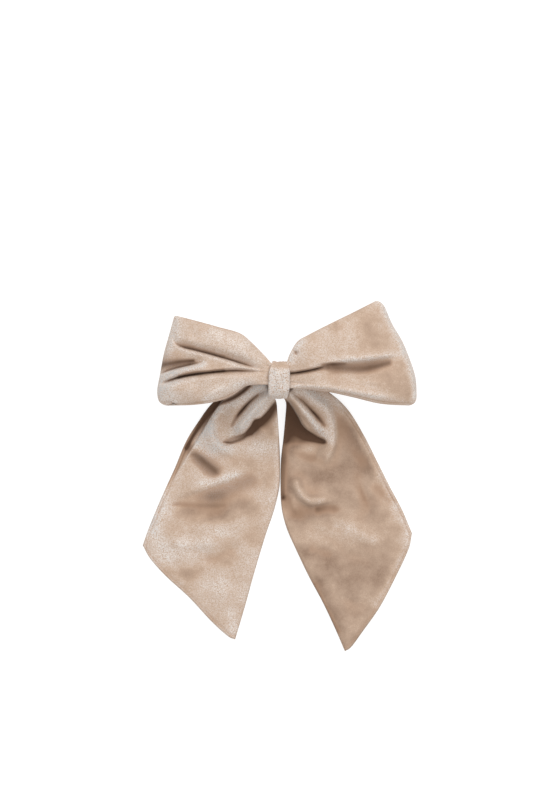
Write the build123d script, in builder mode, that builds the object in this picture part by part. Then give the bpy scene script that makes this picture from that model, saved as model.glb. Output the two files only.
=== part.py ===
"""Velvet bow barrette: a long-tailed fabric bow sewn to an 80 mm spring-steel French clip.

Frame, in millimetres: X runs along the clip from its hinge to its catch, Y points from the tails to the
loops, and Z points out of the bow's face. The origin is the middle of the grip, halfway between the tension
bar and the closing arm. The barrette lies face up on a table at z = TABLE.
"""

from build123d import *
import os
from math import atan, cos, degrees, sin, sqrt

# ---------------------------------------------------------------- clip, driving sizes
CLIP_LENGTH = 80.0  # base plate, end to end
LAND = 12.0  # straight stretch at each end of the arched strips
PLATE_WIDTH = 9.0
PLATE_THICKNESS = 0.9
PLATE_RISE = 5.0  # how far the middle of the base plate stands above its ends
BEND_RADIUS = 8.0  # where a straight end runs into the arch
CORNER_RADIUS = 2.6  # rounded corners of the base plate

ARM_SHOULDER = 0.4  # how far the knuckle stands out each side of the arm
ARM_THICKNESS = 0.8
ARM_RISE = 1.5
ARM_SLOT_WIDTH = 1.8  # long slot down the middle of the arm
GRIP_GAP = 0.3  # between the closed arm and the tension bar, in the middle

BAR_WIDTH = 5.2
BAR_THICKNESS = 0.35
BAR_BOW = 2.0  # how far the tension bar's middle stands below its ends
BAR_TO_PLATE = 0.1
TONGUE_WIDTH = 3.0  # ends of the tension bar, hooked into the base plate
SLOT_OFFSET = 1.8  # from the arch to the slots that take the tongues
SLOT_PLAY = 0.25

PIN_RADIUS = 0.8
PIN_INSET = 3.0  # hinge axis to the end of the base plate
PIN_FIT = 0.02  # radial, pin to the base plate's ears
RUNNING_FIT = 0.05  # radial, pin to the arm's knuckle
EAR_RADIUS = 2.0
EAR_THICKNESS = 0.9
HEAD_RADIUS = 1.3
HEAD_HEIGHT = 0.5
SIDE_PLAY = 0.2  # knuckle to each ear

CATCH_INSET = 4.0  # middle of the catch to the end of the base plate
CATCH_LENGTH = 6.5
CATCH_THICKNESS = 0.4
CATCH_CORNER = 0.6
FINGER_WIDTH = 4.5  # along the clip
FINGER_SPREAD = 2.35  # clip's centre line to the middle of each finger
FINGER_DROP = 2.4  # how far the fingertips stand below the arm
HOOK_DEPTH = 0.45
HOOK_HEIGHT = 0.9
TIP_RADIUS = 1.0  # rounded corners of the fingertips
CATCH_PLAY = 0.12  # fingers to the arm's window, and hooks to the arm
BEND_PLAY = 0.02  # a finger's rounded root to the catch plate
RIM_WIDTH = 1.6  # each side of the arm's window
NOSE_OVERHANG = 1.5  # arm's nose past the end of the base plate
NOSE_CORNER = 1.2
WINDOW_CORNER = 0.5
WINDOW_PLAY = 0.55  # each end of the window to a finger, along the clip
RIVET_RADIUS = 0.9
RIVET_HEAD_RADIUS = 1.6
RIVET_HEAD_HEIGHT = 0.4

SEW_HOLE_RADIUS = 0.75
SEW_HOLE_X = 23.0
SEW_HOLE_Y = 2.6
THREAD_RADIUS = 0.3

# ---------------------------------------------------------------- bow, driving sizes
KNOT_LENGTH = 11.2  # along the clip
KNOT_WIDTH = 18.8  # along Y
KNOT_HEIGHT = 17.6
WRAP_THICKNESS = 1.2
LAP_WIDTH = 7.0  # where the wrap's two ends overlap, under the base plate
STITCHES = 5
STITCH_LENGTH = 1.8
BAND_THICKNESS = 2.4  # two layers of velvet
LOOP_CREST = 25.5  # highest point of the loops
LOOP_END_Z = 11.0  # height of the outer folds
TAIL_THICKNESS = 3.2
TAIL_LANDING = -46.0  # where the tails come down on the table
CLOTH_PLAY = 0.15  # cloth to the clip, and one cloth piece to another

# Plan outlines, going round each piece from the knot. The knot is at (0, 0).
LEFT_LOOP = [(-4, 9), (-19, 23.5), (-53, 33), (-61.5, -4), (-57, -13), (-27, -8.5), (-4, 0.5)]
RIGHT_LOOP = [(4, 9), (8, 18), (22, 26), (49.5, 40.5), (66, 12), (69.5, -12.5), (48, -12), (22, -5.5), (4, -3.5)]
LEFT_TAIL = [(-4, -2), (-27, -9.5), (-36, -14), (-69.5, -86), (-23.5, -132.5), (-4.5, -75), (0.4, -49), (-1, -9)]
RIGHT_TAIL = [(4, -6), (22, -7), (39, -22), (68, -80), (35, -138), (7, -81), (1.2, -50), (4, -9)]
OUTLINE_FILLET = 2.0

# ---------------------------------------------------------------- places that follow from them
HALF_CLIP = CLIP_LENGTH / 2
HALF_SPAN = HALF_CLIP - LAND
ARM_TOP = -GRIP_GAP / 2 - ARM_RISE  # at the arm's straight ends
ARM_UNDER = ARM_TOP - ARM_THICKNESS
BAR_END_TOP = GRIP_GAP / 2 + BAR_THICKNESS + BAR_BOW
PLATE_UNDER = BAR_END_TOP + BAR_TO_PLATE  # at the base plate's straight ends
PLATE_TOP = PLATE_UNDER + PLATE_THICKNESS

KNUCKLE_BORE = PIN_RADIUS + RUNNING_FIT
KNUCKLE_RADIUS = KNUCKLE_BORE + ARM_THICKNESS
PIN_X = -HALF_CLIP + PIN_INSET
PIN_Z = ARM_TOP - KNUCKLE_RADIUS
TABLE = PIN_Z - EAR_RADIUS
KNUCKLE_WIDTH = PLATE_WIDTH - 2 * EAR_THICKNESS - 2 * SIDE_PLAY
ARM_WIDTH = KNUCKLE_WIDTH - 2 * ARM_SHOULDER

CATCH_X = HALF_CLIP - CATCH_INSET
FINGER_RADIUS = CATCH_THICKNESS / 2
FINGER_ROOT_Z = PLATE_UNDER - CATCH_THICKNESS - BEND_PLAY - FINGER_RADIUS
FINGER_OUTSIDE = FINGER_SPREAD + FINGER_RADIUS
FINGER_TIP_Z = ARM_UNDER - FINGER_DROP
WINDOW_WIDTH = 2 * (FINGER_OUTSIDE + CATCH_PLAY)
WINDOW_LENGTH = FINGER_WIDTH + 2 * WINDOW_PLAY
NOSE_WIDTH = WINDOW_WIDTH + 2 * RIM_WIDTH
NOSE_END = HALF_CLIP + NOSE_OVERHANG
NOSE_START = CATCH_X - WINDOW_LENGTH / 2 - RIM_WIDTH

SLOT_X = HALF_SPAN + SLOT_OFFSET
SLOT_LENGTH = BAR_THICKNESS + 2 * SLOT_PLAY
SLOT_WIDTH = TONGUE_WIDTH + 2 * SLOT_PLAY


def plate_top_at(x):
    """Height of the base plate's top at a distance x from the middle, on its arch."""
    turn = 2 * atan(PLATE_RISE / HALF_SPAN)
    radius = HALF_SPAN / sin(turn) - BEND_RADIUS + PLATE_THICKNESS
    return PLATE_TOP + PLATE_RISE - radius + sqrt(radius**2 - x**2)


KNOT_FLOOR = plate_top_at(KNOT_LENGTH / 2) - PLATE_THICKNESS - CLOTH_PLAY  # inside of the wrap
KNOT_Z = KNOT_FLOOR + KNOT_HEIGHT / 2 - WRAP_THICKNESS
KNOT_INSIDE_WIDTH = KNOT_WIDTH - 2 * WRAP_THICKNESS
KNOT_INSIDE_HEIGHT = KNOT_HEIGHT - 2 * WRAP_THICKNESS
KNOT_CORNER = 5.6
BUNDLE_CORNER = KNOT_CORNER - WRAP_THICKNESS
TAIL_BUNDLE_FLOOR = plate_top_at(0) + CLOTH_PLAY
TAIL_BUNDLE_TOP = TAIL_BUNDLE_FLOOR + 2 * BAND_THICKNESS
LOOP_BUNDLE_FLOOR = TAIL_BUNDLE_TOP + CLOTH_PLAY
BUNDLE_TOP = KNOT_Z + KNOT_INSIDE_HEIGHT / 2 - CLOTH_PLAY


# ---------------------------------------------------------------- shared shapes
def arched_line(start_x, end_x, rise, z):
    """A line in the current BuildLine: straight ends at height z, and an arch that rises between them."""
    turn = 2 * atan(abs(rise) / HALF_SPAN)
    radius = HALF_SPAN / sin(turn) - BEND_RADIUS
    bend = degrees(turn) if rise > 0 else -degrees(turn)
    first = Line((start_x, z), (-HALF_SPAN, z))
    foot = JernArc(first @ 1, (1, 0), BEND_RADIUS, bend)
    arch = JernArc(foot @ 1, foot % 1, radius, -2 * bend)
    far_foot = JernArc(arch @ 1, arch % 1, BEND_RADIUS, bend)
    Line(far_foot @ 1, (end_x, z))


def plan_outline(points):
    """One face in the current BuildSketch, from an outline with softened corners."""
    with BuildLine() as outline:
        Polyline(*points, close=True)
    make_face(outline.edges())
    fillet(vertices(), OUTLINE_FILLET)


def save(piece, name):
    piece.part.label = name
    export_step(piece.part, f"parts/{name}.step")


os.makedirs("parts", exist_ok=True)

# ---------------------------------------------------------------- base plate, with its hinge ears
with BuildPart() as base_plate:
    with BuildSketch(Plane.XZ):
        with BuildLine():
            arched_line(-HALF_CLIP, HALF_CLIP, PLATE_RISE, PLATE_UNDER)
            offset(amount=PLATE_THICKNESS, side=Side.LEFT)
        make_face()
    extrude(amount=PLATE_WIDTH / 2, both=True)
    ends = edges().filter_by(Axis.Z)
    fillet(ends.group_by(Axis.X)[-1], CORNER_RADIUS)
    fillet(ends.group_by(Axis.X)[0], EAR_THICKNESS)
    with BuildSketch(Plane.XZ.offset(-PLATE_WIDTH / 2)):
        with Locations((PIN_X, PIN_Z)):
            Circle(EAR_RADIUS)
        with Locations((PIN_X, (PIN_Z + PLATE_UNDER) / 2)):
            Rectangle(2 * EAR_RADIUS, PLATE_UNDER - PIN_Z)
        with Locations((PIN_X, PIN_Z)):
            Circle(PIN_RADIUS + PIN_FIT, mode=Mode.SUBTRACT)
    ear = extrude(amount=EAR_THICKNESS)
    mirror(ear, about=Plane.XZ)
    # slots for the tension bar, sewing holes and the rivet hole, straight through
    with BuildSketch(Plane.XY):
        with Locations((-SLOT_X, 0), (SLOT_X, 0)):
            SlotOverall(SLOT_WIDTH, SLOT_LENGTH, rotation=90)
        with GridLocations(2 * SEW_HOLE_X, 2 * SEW_HOLE_Y, 2, 2):
            Circle(SEW_HOLE_RADIUS)
        with Locations((CATCH_X, 0)):
            Circle(RIVET_RADIUS + PIN_FIT)
    extrude(amount=plate_top_at(0) + 1, mode=Mode.SUBTRACT)
save(base_plate, "base_plate")

# ---------------------------------------------------------------- closing arm: knuckle, strip, window and nose
with BuildPart() as closing_arm:
    with BuildSketch(Plane.XZ):
        with BuildLine():
            arched_line(PIN_X, NOSE_END, ARM_RISE, ARM_UNDER)
            offset(amount=ARM_THICKNESS, side=Side.LEFT)
        make_face()
    extrude(amount=NOSE_WIDTH / 2, both=True)
    with BuildSketch(Plane.XY):
        with Locations(((PIN_X + NOSE_END) / 2, 0)):
            Rectangle(NOSE_END - PIN_X, ARM_WIDTH)
        with Locations(((NOSE_START + NOSE_END) / 2, 0)):
            RectangleRounded(NOSE_END - NOSE_START, NOSE_WIDTH, NOSE_CORNER)
        with Locations((PIN_X + EAR_RADIUS, 0)):
            Rectangle(2 * EAR_RADIUS, KNUCKLE_WIDTH)
        with Locations((CATCH_X, 0)):
            RectangleRounded(WINDOW_LENGTH, WINDOW_WIDTH, WINDOW_CORNER, mode=Mode.SUBTRACT)
        SlotOverall(HALF_SPAN, ARM_SLOT_WIDTH, mode=Mode.SUBTRACT)
    extrude(amount=HALF_CLIP, both=True, mode=Mode.INTERSECT)
    with BuildSketch(Plane.XZ):
        with Locations((PIN_X, PIN_Z)):
            Circle(KNUCKLE_RADIUS)
    extrude(amount=KNUCKLE_WIDTH / 2, both=True)
    with BuildSketch(Plane.XZ):
        with Locations((PIN_X, PIN_Z)):
            Circle(KNUCKLE_BORE)
    extrude(amount=KNUCKLE_WIDTH, both=True, mode=Mode.SUBTRACT)
save(closing_arm, "closing_arm")

# ---------------------------------------------------------------- hinge pin, riveted over at both ends
with BuildPart() as hinge_pin:
    with BuildSketch(Plane.XZ):
        with Locations((PIN_X, PIN_Z)):
            Circle(PIN_RADIUS)
    extrude(amount=PLATE_WIDTH / 2, both=True)
    with BuildSketch(Plane.XZ.offset(PLATE_WIDTH / 2)):
        with Locations((PIN_X, PIN_Z)):
            Circle(HEAD_RADIUS)
    head = extrude(amount=HEAD_HEIGHT)
    mirror(head, about=Plane.XZ)
    rims = edges().filter_by(GeomType.CIRCLE).group_by(Axis.Y)
    fillet(rims[0] + rims[-1], HEAD_HEIGHT * 0.8)
save(hinge_pin, "hinge_pin")

# ---------------------------------------------------------------- tension bar, hooked into the base plate
with BuildPart() as tension_bar:
    with BuildSketch(Plane.XZ):
        with BuildLine():
            tongue_face = SLOT_X + BAR_THICKNESS / 2
            arched_line(-tongue_face, tongue_face, -BAR_BOW, BAR_END_TOP - BAR_THICKNESS)
            offset(amount=BAR_THICKNESS, side=Side.LEFT)
        make_face()
    extrude(amount=BAR_WIDTH / 2, both=True)
    with BuildSketch(Plane.XY.offset(BAR_END_TOP - BAR_THICKNESS)):
        with Locations((-SLOT_X, 0), (SLOT_X, 0)):
            Rectangle(BAR_THICKNESS, TONGUE_WIDTH)
    extrude(amount=PLATE_TOP - BAR_END_TOP + BAR_THICKNESS)
save(tension_bar, "tension_bar")

# ---------------------------------------------------------------- catch: riveted plate and two spring fingers
with BuildPart() as catch_plate:
    with BuildSketch(Plane.XY.offset(PLATE_UNDER)):
        with Locations((CATCH_X, 0)):
            RectangleRounded(CATCH_LENGTH, 2 * FINGER_OUTSIDE, CATCH_CORNER)
            Circle(RIVET_RADIUS + PIN_FIT, mode=Mode.SUBTRACT)
    extrude(amount=-CATCH_THICKNESS)
save(catch_plate, "catch_plate")

for side, name in ((1, "catch_finger_upper"), (-1, "catch_finger_lower")):
    hook_z = ARM_UNDER - CATCH_PLAY
    inside, outside = side * (FINGER_SPREAD - FINGER_RADIUS), side * FINGER_OUTSIDE
    barb = outside + side * HOOK_DEPTH
    with BuildPart() as catch_finger:
        with BuildSketch(Plane.YZ.offset(CATCH_X)):
            with Locations((side * FINGER_SPREAD, FINGER_ROOT_Z)):
                Circle(FINGER_RADIUS)
            with BuildLine():
                Polyline(
                    (inside, FINGER_ROOT_Z),
                    (outside, FINGER_ROOT_Z),
                    (outside, hook_z),
                    (barb, hook_z),
                    (outside, hook_z - HOOK_HEIGHT),
                    (barb, FINGER_TIP_Z),
                    (inside + side * HOOK_DEPTH, FINGER_TIP_Z),
                    (inside, hook_z - HOOK_HEIGHT),
                    close=True,
                )
            make_face()
        extrude(amount=FINGER_WIDTH / 2, both=True)
        tip = faces().sort_by(Axis.Z)[0]
        fillet(tip.edges().filter_by(Axis.Y), TIP_RADIUS)
    save(catch_finger, name)

with BuildPart() as catch_rivet:
    with BuildSketch(Plane.XY.offset(PLATE_UNDER - CATCH_THICKNESS)):
        with Locations((CATCH_X, 0)):
            Circle(RIVET_RADIUS)
    extrude(amount=CATCH_THICKNESS + PLATE_THICKNESS)
    with BuildSketch(Plane.XY.offset(PLATE_TOP)):
        with Locations((CATCH_X, 0)):
            Circle(RIVET_HEAD_RADIUS)
    extrude(amount=RIVET_HEAD_HEIGHT)
    with BuildSketch(Plane.XY.offset(PLATE_UNDER - CATCH_THICKNESS)):
        with Locations((CATCH_X, 0)):
            Circle(RIVET_HEAD_RADIUS)
    extrude(amount=-RIVET_HEAD_HEIGHT)
    rims = edges().filter_by(GeomType.CIRCLE).group_by(Axis.Z)
    fillet(rims[0] + rims[-1], RIVET_HEAD_HEIGHT * 0.8)
save(catch_rivet, "catch_rivet")


# ---------------------------------------------------------------- knot wrap, with its ends lapped below
def knot_section(width, height, corner):
    """A rounded rectangle about the knot's middle, in the current BuildSketch on a YZ plane."""
    with Locations((0, KNOT_Z)):
        RectangleRounded(width, height, corner)


with BuildPart() as knot_wrap:
    with BuildSketch(Plane.YZ):
        knot_section(KNOT_WIDTH, KNOT_HEIGHT, KNOT_CORNER)
        with Locations((0, KNOT_FLOOR - 1.5 * WRAP_THICKNESS)):
            Rectangle(LAP_WIDTH, WRAP_THICKNESS)
        with Locations((0, KNOT_Z)):
            RectangleRounded(KNOT_INSIDE_WIDTH, KNOT_INSIDE_HEIGHT, BUNDLE_CORNER, mode=Mode.SUBTRACT)
    extrude(amount=KNOT_LENGTH / 2, both=True)
save(knot_wrap, "knot_wrap")

# Hand stitches that close the lap, in a row along its edge.
with BuildPart() as wrap_stitches:
    with BuildSketch(Plane.XZ.offset(LAP_WIDTH / 2 - STITCH_LENGTH)):
        with Locations((0, KNOT_FLOOR - 2 * WRAP_THICKNESS)):
            with GridLocations(KNOT_LENGTH / (STITCHES + 1), 0, STITCHES, 1):
                Circle(THREAD_RADIUS)
    extrude(amount=STITCH_LENGTH)
save(wrap_stitches, "wrap_stitches")

# Thread tacks that hold the back of each loop down, through a pair of sewing holes.
with BuildPart() as tack_threads:
    tack_floor = plate_top_at(SEW_HOLE_X) - PLATE_THICKNESS - 2.5 * THREAD_RADIUS
    tack_top = plate_top_at(SEW_HOLE_X) + BAND_THICKNESS + 3 * THREAD_RADIUS
    for x in (-SEW_HOLE_X, SEW_HOLE_X):
        with BuildLine(Plane.YZ.offset(x)) as route:
            FilletPolyline(
                (SEW_HOLE_Y, tack_floor),
                (SEW_HOLE_Y, tack_top),
                (-SEW_HOLE_Y, tack_top),
                (-SEW_HOLE_Y, tack_floor),
                close=True,
                radius=2 * THREAD_RADIUS,
            )
        with BuildSketch(Plane(origin=route.line @ 0, z_dir=route.line % 0)):
            Circle(THREAD_RADIUS)
        sweep(path=route.line)
save(tack_threads, "tack_threads")


# ---------------------------------------------------------------- velvet bands
def clear_the_knot():
    """Cuts the wrap's own room out of the piece in hand."""
    with BuildSketch(Plane.YZ) as room:
        grow = 2 * CLOTH_PLAY
        knot_section(KNOT_WIDTH + grow, KNOT_HEIGHT + grow, KNOT_CORNER)
    extrude(room.sketch, amount=KNOT_LENGTH / 2 + CLOTH_PLAY, both=True, mode=Mode.SUBTRACT)


def gathered_bundle(floor, top):
    """Adds the stretch of a band that is gathered inside the wrap, between two heights."""
    with BuildSketch(Plane.YZ) as bundle:
        shrink = 2 * CLOTH_PLAY
        knot_section(KNOT_INSIDE_WIDTH - shrink, KNOT_INSIDE_HEIGHT - shrink, BUNDLE_CORNER)
        with Locations((0, (floor + top) / 2)):
            Rectangle(KNOT_WIDTH, top - floor, mode=Mode.INTERSECT)
    extrude(bundle.sketch, amount=KNOT_LENGTH / 2 + CLOTH_PLAY, both=True)


with BuildPart() as bow_loops:
    for side, outline in ((-1, LEFT_LOOP), (1, RIGHT_LOOP)):
        reach = max(abs(x) for x, _ in outline)
        rest_x = 0.9 * HALF_SPAN
        back_z = plate_top_at(SEW_HOLE_X) + CLOTH_PLAY
        with BuildPart(mode=Mode.PRIVATE) as loop:
            with BuildSketch(Plane.XZ):
                with BuildLine():
                    front = Spline(
                        (0, BUNDLE_TOP),
                        (side * reach * 0.5, LOOP_CREST),
                        (side * reach, LOOP_END_Z),
                        tangents=[(side, 0), (0, -1)],
                    )
                    back = Spline(
                        front @ 1,
                        (side * reach * 0.75, back_z),
                        (side * rest_x, back_z),
                        (0, LOOP_BUNDLE_FLOOR),
                        tangents=[(0, -1), (-side, 0)],
                    )
                    Line(back @ 1, front @ 0)
                make_face()
            extrude(amount=HALF_CLIP + 5, both=True)
            # the hollow of the loop, open above and below
            with BuildSketch(Plane.XZ):
                with BuildLine():
                    hollow_end = reach - BAND_THICKNESS
                    roof = Spline(
                        (side * 16, 0.5 * (LOOP_BUNDLE_FLOOR + BUNDLE_TOP)),
                        (side * reach * 0.5, LOOP_CREST - BAND_THICKNESS),
                        (side * hollow_end, LOOP_END_Z),
                    )
                    Spline(
                        roof @ 1,
                        (side * reach * 0.72, back_z + BAND_THICKNESS),
                        (side * 30, back_z + BAND_THICKNESS),
                        roof @ 0,
                    )
                make_face()
            extrude(amount=HALF_CLIP + 5, both=True, mode=Mode.SUBTRACT)
            with BuildSketch(Plane.XY):
                plan_outline(outline)
            extrude(amount=HALF_CLIP, both=True, mode=Mode.INTERSECT)
        add(loop.part)
    clear_the_knot()
    gathered_bundle(LOOP_BUNDLE_FLOOR, BUNDLE_TOP)
save(bow_loops, "bow_loops")

with BuildPart() as bow_tails:
    far = min(y for _, y in RIGHT_TAIL)
    with BuildSketch(Plane.YZ):
        with BuildLine():
            knot_edge = -KNOT_WIDTH / 2
            top = Line((0, TAIL_BUNDLE_TOP), (knot_edge, TAIL_BUNDLE_TOP))
            fall = Spline(top @ 1, (TAIL_LANDING, TABLE + TAIL_THICKNESS), tangents=[(-1, 0), (-1, 0)])
            end = Polyline(fall @ 1, (far, TABLE + TAIL_THICKNESS), (far, TABLE), (TAIL_LANDING, TABLE))
            under = Spline(end @ 1, (knot_edge, TAIL_BUNDLE_FLOOR), tangents=[(1, 0), (1, 0)])
            Polyline(under @ 1, (0, TAIL_BUNDLE_FLOOR), top @ 0)
        make_face()
    extrude(amount=CLIP_LENGTH, both=True)
    with BuildSketch(Plane.XY):
        plan_outline(LEFT_TAIL)
    with BuildSketch(Plane.XY):
        plan_outline(RIGHT_TAIL)
    extrude(amount=HALF_CLIP, both=True, mode=Mode.INTERSECT)
    clear_the_knot()
    gathered_bundle(TAIL_BUNDLE_FLOOR, TAIL_BUNDLE_TOP)
save(bow_tails, "bow_tails")
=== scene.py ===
"""Looks of the velvet bow barrette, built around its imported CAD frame.

Shapes are worked out in millimetres in the row's frame (X along the clip, Y from the tails to the loops,
Z out of the bow's face) and turned into metres when a mesh is made.
"""

import math

import bpy
import numpy as np
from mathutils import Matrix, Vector


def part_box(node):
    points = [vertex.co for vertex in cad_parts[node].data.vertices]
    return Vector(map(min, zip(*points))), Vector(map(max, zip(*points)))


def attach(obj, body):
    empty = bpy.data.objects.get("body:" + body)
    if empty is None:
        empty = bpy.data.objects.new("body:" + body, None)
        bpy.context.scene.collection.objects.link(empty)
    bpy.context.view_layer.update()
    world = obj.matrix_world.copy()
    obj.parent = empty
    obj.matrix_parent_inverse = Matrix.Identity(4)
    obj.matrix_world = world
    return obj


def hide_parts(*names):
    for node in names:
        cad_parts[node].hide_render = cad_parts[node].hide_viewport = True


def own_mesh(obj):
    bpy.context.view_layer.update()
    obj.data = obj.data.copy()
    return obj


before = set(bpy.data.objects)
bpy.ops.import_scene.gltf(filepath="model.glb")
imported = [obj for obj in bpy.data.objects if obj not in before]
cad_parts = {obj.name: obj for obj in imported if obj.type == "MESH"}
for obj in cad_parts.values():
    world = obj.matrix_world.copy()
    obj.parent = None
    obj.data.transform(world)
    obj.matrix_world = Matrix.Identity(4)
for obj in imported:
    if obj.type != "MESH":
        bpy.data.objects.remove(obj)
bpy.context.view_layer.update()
MM = 0.001


# ---------------------------------------------------------------- places taken from the frame
def node_box(node):
    """Lowest and highest corner of a CAD node, in millimetres."""
    low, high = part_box(node)
    return np.array(low) / MM, np.array(high) / MM


plate_low, plate_high = node_box("base_plate")
knot_low, knot_high = node_box("knot_wrap")
TABLE = plate_low[2]
PLATE_TOP = plate_high[2]
PLATE_RISE = 5.0  # how far the arched plate's middle stands above its ends
ARCH_HALF = 28.0  # from the plate's middle to the end of its arch
CLOTH = 2.2  # thickness of a band: two layers of velvet
EDGE_RADIUS = 1.3  # rounding of a band's folded edges
SEAM_IN = 1.7  # from a band's edge to its seam's groove
SEAM_WIDTH = 0.4
VALLEY_ROUNDING = 0.08  # share of a lobe's width


# ---------------------------------------------------------------- shape tools
def ease(t):
    """From 0 to 1 as t goes from 0 to 1, level at both ends."""
    t = np.clip(t, 0.0, 1.0)
    return t * t * (3 - 2 * t)


def mix(a, b, t):
    """The value a share t of the way from a to b."""
    return a + (b - a) * t


def curve(points, count=60):
    """A smooth Catmull-Rom line through the points, evenly spaced along its length."""
    p = np.array(points, float)
    p = np.vstack([2 * p[0] - p[1], p, 2 * p[-1] - p[-2]])
    rows = []
    for i in range(1, len(p) - 2):
        a, b, c, d = p[i - 1 : i + 3]
        t = np.linspace(0, 1, 24)[:, None]
        bend = (2 * a - 5 * b + 4 * c - d) * t**2 + (3 * b - a - 3 * c + d) * t**3
        rows.append(0.5 * (2 * b + (c - a) * t + bend))
    line = np.vstack(rows)
    length = np.concatenate([[0], np.cumsum(np.linalg.norm(np.diff(line, axis=0), axis=1))])
    want = np.linspace(0, length[-1], count)
    return np.stack([np.interp(want, length, line[:, k]) for k in range(line.shape[1])], 1)


def along(line, t):
    """Points at shares t of an evenly spaced line."""
    at = np.linspace(0, 1, len(line))
    return np.stack([np.interp(t, at, line[:, k]) for k in range(line.shape[1])], -1)


def to_line(xy, line):
    """Each point's distance to a line, positive on its left, and the share of the line it is nearest to."""
    a, b = line[:-1], line[1:]
    run = b - a
    square = (run**2).sum(1)
    flat = xy.reshape(-1, 2)
    best = np.full(len(flat), 1e9)
    side = np.zeros(len(flat))
    share = np.zeros(len(flat))
    for i in range(len(a)):
        rel = flat - a[i]
        t = np.clip((rel @ run[i]) / square[i], 0, 1)
        off = rel - t[:, None] * run[i]
        d = np.hypot(off[:, 0], off[:, 1])
        nearer = d < best
        cross = run[i, 0] * rel[:, 1] - run[i, 1] * rel[:, 0]
        best = np.where(nearer, d, best)
        side = np.where(nearer, np.sign(cross), side)
        share = np.where(nearer, (i + t) / len(a), share)
    return (best * side).reshape(xy.shape[:-1]), share.reshape(xy.shape[:-1])


def lobe(q):
    """Depth beside a valley as its round lobe rises over a width of 1, the bottom a little rounded."""
    q = np.clip(np.hypot(q, VALLEY_ROUNDING), 0, 1)
    return 1 - np.sqrt(1 - (1 - q) ** 2)


def crease(xy, points, depth, left, right, fade=(0.15, 0.25)):
    """A sharp valley between two round lobes. left and right are the lobes' half widths."""
    d, t = to_line(xy, curve(points, 40))
    strength = ease(t / fade[0]) * ease((1 - t) / fade[1])
    return -depth * strength * lobe(np.abs(d) / np.where(d > 0, left, right))


def swell(xy, points, height, left, right, fade=(0.2, 0.3)):
    """A soft ridge, or a soft dent where height is negative."""
    d, t = to_line(xy, curve(points, 40))
    q = np.abs(d) / np.where(d > 0, left, right)
    strength = ease(t / fade[0]) * ease((1 - t) / fade[1])
    return height * strength * np.exp(-1.5 * q**2)


def fold(xy, points, depth, near, far, fade=(0.1, 0.3)):
    """A valley with a round lobe left of its line and a long flank right of it, steepest at the line."""
    d, t = to_line(xy, curve(points, 50))
    strength = ease(t / fade[0]) * ease((1 - t) / fade[1])
    round_side = lobe(np.clip(d / (0.75 * near), 0, 1)) / lobe(0)
    flank = (1 - np.clip(-d / far, 0, 1)) ** 2
    return -depth * strength * np.where(d > 0, round_side, flank)


def cliff(xy, points, drop, shoulder, plunge, reach, fade=(0.05, 0.3)):
    """A fall to the left of a line: a round shoulder, the plunge, then slowly up again."""
    d, t = to_line(xy, curve(points, 50))
    strength = ease(t / fade[0]) * ease((1 - t) / fade[1])
    over = 0.35 * np.clip(1 + d / shoulder, 0, 1) ** 3
    down = 1 - 0.65 * (1 - np.clip(d / plunge, 0, 1)) ** 2
    up = 1 - ease((d - plunge) / (reach - plunge))
    return -drop * strength * np.where(d < 0, over, np.minimum(down, up))


def step(xy, points, drop, width, fade=(0.1, 0.4)):
    """Lowers what lies to the right of a line, within a width of it."""
    d, t = to_line(xy, curve(points, 40))
    strength = ease(t / fade[0]) * ease((1 - t) / fade[1])
    return -drop * strength * ease(-d / 1.0) * ease((width + d) / 2.0)


def waves(xy, seed, size, count=9):
    """Gentle unevenness about -1 to 1, with features of about the given size."""
    rng = np.random.default_rng(seed)
    total = np.zeros(xy.shape[:-1])
    for _ in range(count):
        turn = rng.uniform(0, math.tau)
        stride = math.tau / (size * rng.uniform(0.7, 1.8))
        phase = rng.uniform(0, math.tau)
        bend = 0.8 * np.sin(xy[..., 0] / size * rng.uniform(0.3, 0.9) + rng.uniform(0, math.tau))
        total += np.sin(stride * (xy[..., 0] * math.cos(turn) + xy[..., 1] * math.sin(turn)) + phase + bend)
    return total / math.sqrt(count)


def patch(top, bottom, start, end, p, v):
    """A Coons patch between four lines: p runs from start to end, v from top to bottom."""
    p, v = p[..., None], v[..., None]
    t, b = along(top, p[..., 0]), along(bottom, p[..., 0])
    s, e = along(start, v[..., 0]), along(end, v[..., 0])
    corners = (
        (1 - p) * (1 - v) * top[0] + (1 - p) * v * bottom[0] + p * (1 - v) * top[-1] + p * v * bottom[-1]
    )
    return (1 - v) * t + v * b + (1 - p) * s + p * e - corners


def rim(distance, radius):
    """How open the two faces of a band are near its edge: 0 at the edge, 1 from one radius in."""
    q = np.clip(1 - distance / radius, 0, 1)
    return np.sqrt(1 - q**2)


def blur(grid, passes):
    """Evens a grid of heights out over its neighbours."""
    for _ in range(passes):
        wide = np.pad(grid, 1, mode="edge")
        grid = (wide[:-2, 1:-1] + wide[2:, 1:-1] + wide[1:-1, :-2] + wide[1:-1, 2:] + 2 * grid) / 6
    return grid


def lowered(grid, passes):
    """The lowest of the neighbours, so that a smoothed copy stays under the grid."""
    for _ in range(passes):
        wide = np.pad(grid, 1, mode="edge")
        grid = np.minimum.reduce([wide[:-2, 1:-1], wide[2:, 1:-1], wide[1:-1, :-2], wide[1:-1, 2:], grid])
    return grid


def seam(distance):
    """The stitched line that runs inside a band's edge: 1 along it, 0 away from it."""
    return np.exp(-(((distance - SEAM_IN) / SEAM_WIDTH) ** 2))


def hollows(face, reach):
    """How far below its surroundings each point of a grid lies, in millimetres; negative on crests."""
    height = face[..., 2]
    return blur(height, reach) - height


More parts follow.
